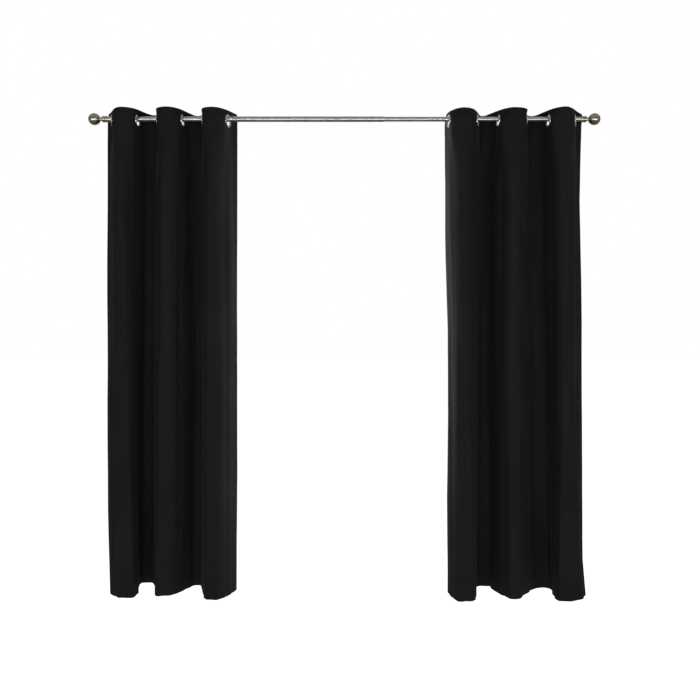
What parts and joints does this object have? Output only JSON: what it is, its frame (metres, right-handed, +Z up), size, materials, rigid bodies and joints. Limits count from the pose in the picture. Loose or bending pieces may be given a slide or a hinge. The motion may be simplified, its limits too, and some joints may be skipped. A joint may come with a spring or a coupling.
{
  "type": "window curtains on a rod",
  "caption": "Pair of full-length grommet-top blackout curtain panels hanging in soft folds on a telescoping metal rod with ball finials.",
  "frame": {"origin": "on the wall face behind the rod, level with the rod's axis and midway between the two brackets", "axes": "+X along the rod towards the thinner tube, +Y towards the wall, -Y towards the room, +Z up"},
  "size_m": [2.276, 0.1806, 2.138],
  "materials": {
    "cloth": "matt tightly woven polyester blackout cloth",
    "tube": "brushed nickel",
    "finial": "satin nickel, turned",
    "grommet": "satin silver",
    "bracket": "brushed nickel",
    "screw": "zinc plated",
    "bush": "moulded nylon"
  },
  "bodies": {
    "rod": {"outer_tube": "tube", "left_tube_plug": "bush", "left_bracket_plate": "bracket", "left_bracket_arm": "bracket", "left_bracket_saddle": "bracket", "left_grommet_1_front": "grommet", "left_grommet_1_back": "grommet", "left_pleat_1": "cloth"},
    "inner_rod": {"inner_tube": "tube", "tube_glide": "bush", "right_tube_plug": "bush", "right_bracket_plate": "bracket", "right_bracket_arm": "bracket", "right_bracket_saddle": "bracket", "right_grommet_1_front": "grommet", "right_grommet_1_back": "grommet", "right_pleat_1": "cloth"},
    "left_finial": {"left_finial_ball": "finial", "left_finial_collar": "finial", "left_finial_stud": "finial"},
    "left_thumb_screw": {"left_set_screw": "screw"},
    "left_grommet_2": {"left_grommet_2_front": "grommet", "left_grommet_2_back": "grommet", "left_pleat_2": "cloth"},
    "left_grommet_3": {"left_grommet_3_front": "grommet", "left_grommet_3_back": "grommet", "left_pleat_3": "cloth"},
    "left_grommet_4": {"left_grommet_4_front": "grommet", "left_grommet_4_back": "grommet", "left_pleat_4": "cloth"},
    "left_grommet_5": {"left_grommet_5_front": "grommet", "left_grommet_5_back": "grommet", "left_pleat_5": "cloth"},
    "left_grommet_6": {"left_grommet_6_front": "grommet", "left_grommet_6_back": "grommet", "left_pleat_6": "cloth"},
    "right_finial": {"right_finial_ball": "finial", "right_finial_collar": "finial", "right_finial_stud": "finial"},
    "right_thumb_screw": {"right_set_screw": "screw"},
    "right_grommet_2": {"right_grommet_2_front": "grommet", "right_grommet_2_back": "grommet", "right_pleat_2": "cloth"},
    "right_grommet_3": {"right_grommet_3_front": "grommet", "right_grommet_3_back": "grommet", "right_pleat_3": "cloth"},
    "right_grommet_4": {"right_grommet_4_front": "grommet", "right_grommet_4_back": "grommet", "right_pleat_4": "cloth"},
    "right_grommet_5": {"right_grommet_5_front": "grommet", "right_grommet_5_back": "grommet", "right_pleat_5": "cloth"},
    "right_grommet_6": {"right_grommet_6_front": "grommet", "right_grommet_6_back": "grommet", "right_pleat_6": "cloth"}
  },
  "joints": [
    {"name": "rod_telescope", "type": "slide", "parent": "rod", "child": "inner_rod", "axis": [1, 0, 0], "range_m": [-0.32, 0.1]},
    {"name": "left_finial_turn", "type": "hinge", "parent": "rod", "child": "left_finial", "pos_m": [-1.065, -0.1, 0], "axis": [-1, 0, 0], "continuous": true},
    {"name": "left_thumb_screw_travel", "type": "slide", "parent": "rod", "child": "left_thumb_screw", "axis": [0, 0, 1], "range_m": [-0.004, 0]},
    {"name": "right_finial_turn", "type": "hinge", "parent": "inner_rod", "child": "right_finial", "pos_m": [1.065, -0.1, 0], "axis": [1, 0, 0], "continuous": true},
    {"name": "right_thumb_screw_travel", "type": "slide", "parent": "inner_rod", "child": "right_thumb_screw", "axis": [0, 0, 1], "range_m": [-0.004, 0]},
    {"name": "left_panel_draw", "type": "slide", "parent": "rod", "child": "left_grommet_2", "axis": [1, 0, 0], "range_m": [0, 0.056]},
    {"name": "left_grommet_3_slide", "type": "slide", "parent": "left_grommet_2", "child": "left_grommet_3", "axis": [1, 0, 0], "range_m": [0, 0.056]},
    {"name": "left_grommet_4_slide", "type": "slide", "parent": "left_grommet_3", "child": "left_grommet_4", "axis": [1, 0, 0], "range_m": [0, 0.056]},
    {"name": "left_grommet_5_slide", "type": "slide", "parent": "left_grommet_4", "child": "left_grommet_5", "axis": [1, 0, 0], "range_m": [0, 0.056]},
    {"name": "left_grommet_6_slide", "type": "slide", "parent": "left_grommet_5", "child": "left_grommet_6", "axis": [1, 0, 0], "range_m": [0, 0.056]},
    {"name": "right_panel_draw", "type": "slide", "parent": "inner_rod", "child": "right_grommet_2", "axis": [-1, 0, 0], "range_m": [0, 0.056]},
    {"name": "right_grommet_3_slide", "type": "slide", "parent": "right_grommet_2", "child": "right_grommet_3", "axis": [-1, 0, 0], "range_m": [0, 0.056]},
    {"name": "right_grommet_4_slide", "type": "slide", "parent": "right_grommet_3", "child": "right_grommet_4", "axis": [-1, 0, 0], "range_m": [0, 0.056]},
    {"name": "right_grommet_5_slide", "type": "slide", "parent": "right_grommet_4", "child": "right_grommet_5", "axis": [-1, 0, 0], "range_m": [0, 0.056]},
    {"name": "right_grommet_6_slide", "type": "slide", "parent": "right_grommet_5", "child": "right_grommet_6", "axis": [-1, 0, 0], "range_m": [0, 0.056]}
  ],
  "couplings": [
    {"joint": "left_grommet_3_slide", "follows": "left_panel_draw", "ratio": 1},
    {"joint": "left_grommet_4_slide", "follows": "left_panel_draw", "ratio": 1},
    {"joint": "left_grommet_5_slide", "follows": "left_panel_draw", "ratio": 1},
    {"joint": "left_grommet_6_slide", "follows": "left_panel_draw", "ratio": 1},
    {"joint": "right_grommet_3_slide", "follows": "right_panel_draw", "ratio": 1},
    {"joint": "right_grommet_4_slide", "follows": "right_panel_draw", "ratio": 1},
    {"joint": "right_grommet_5_slide", "follows": "right_panel_draw", "ratio": 1},
    {"joint": "right_grommet_6_slide", "follows": "right_panel_draw", "ratio": 1}
  ]
}
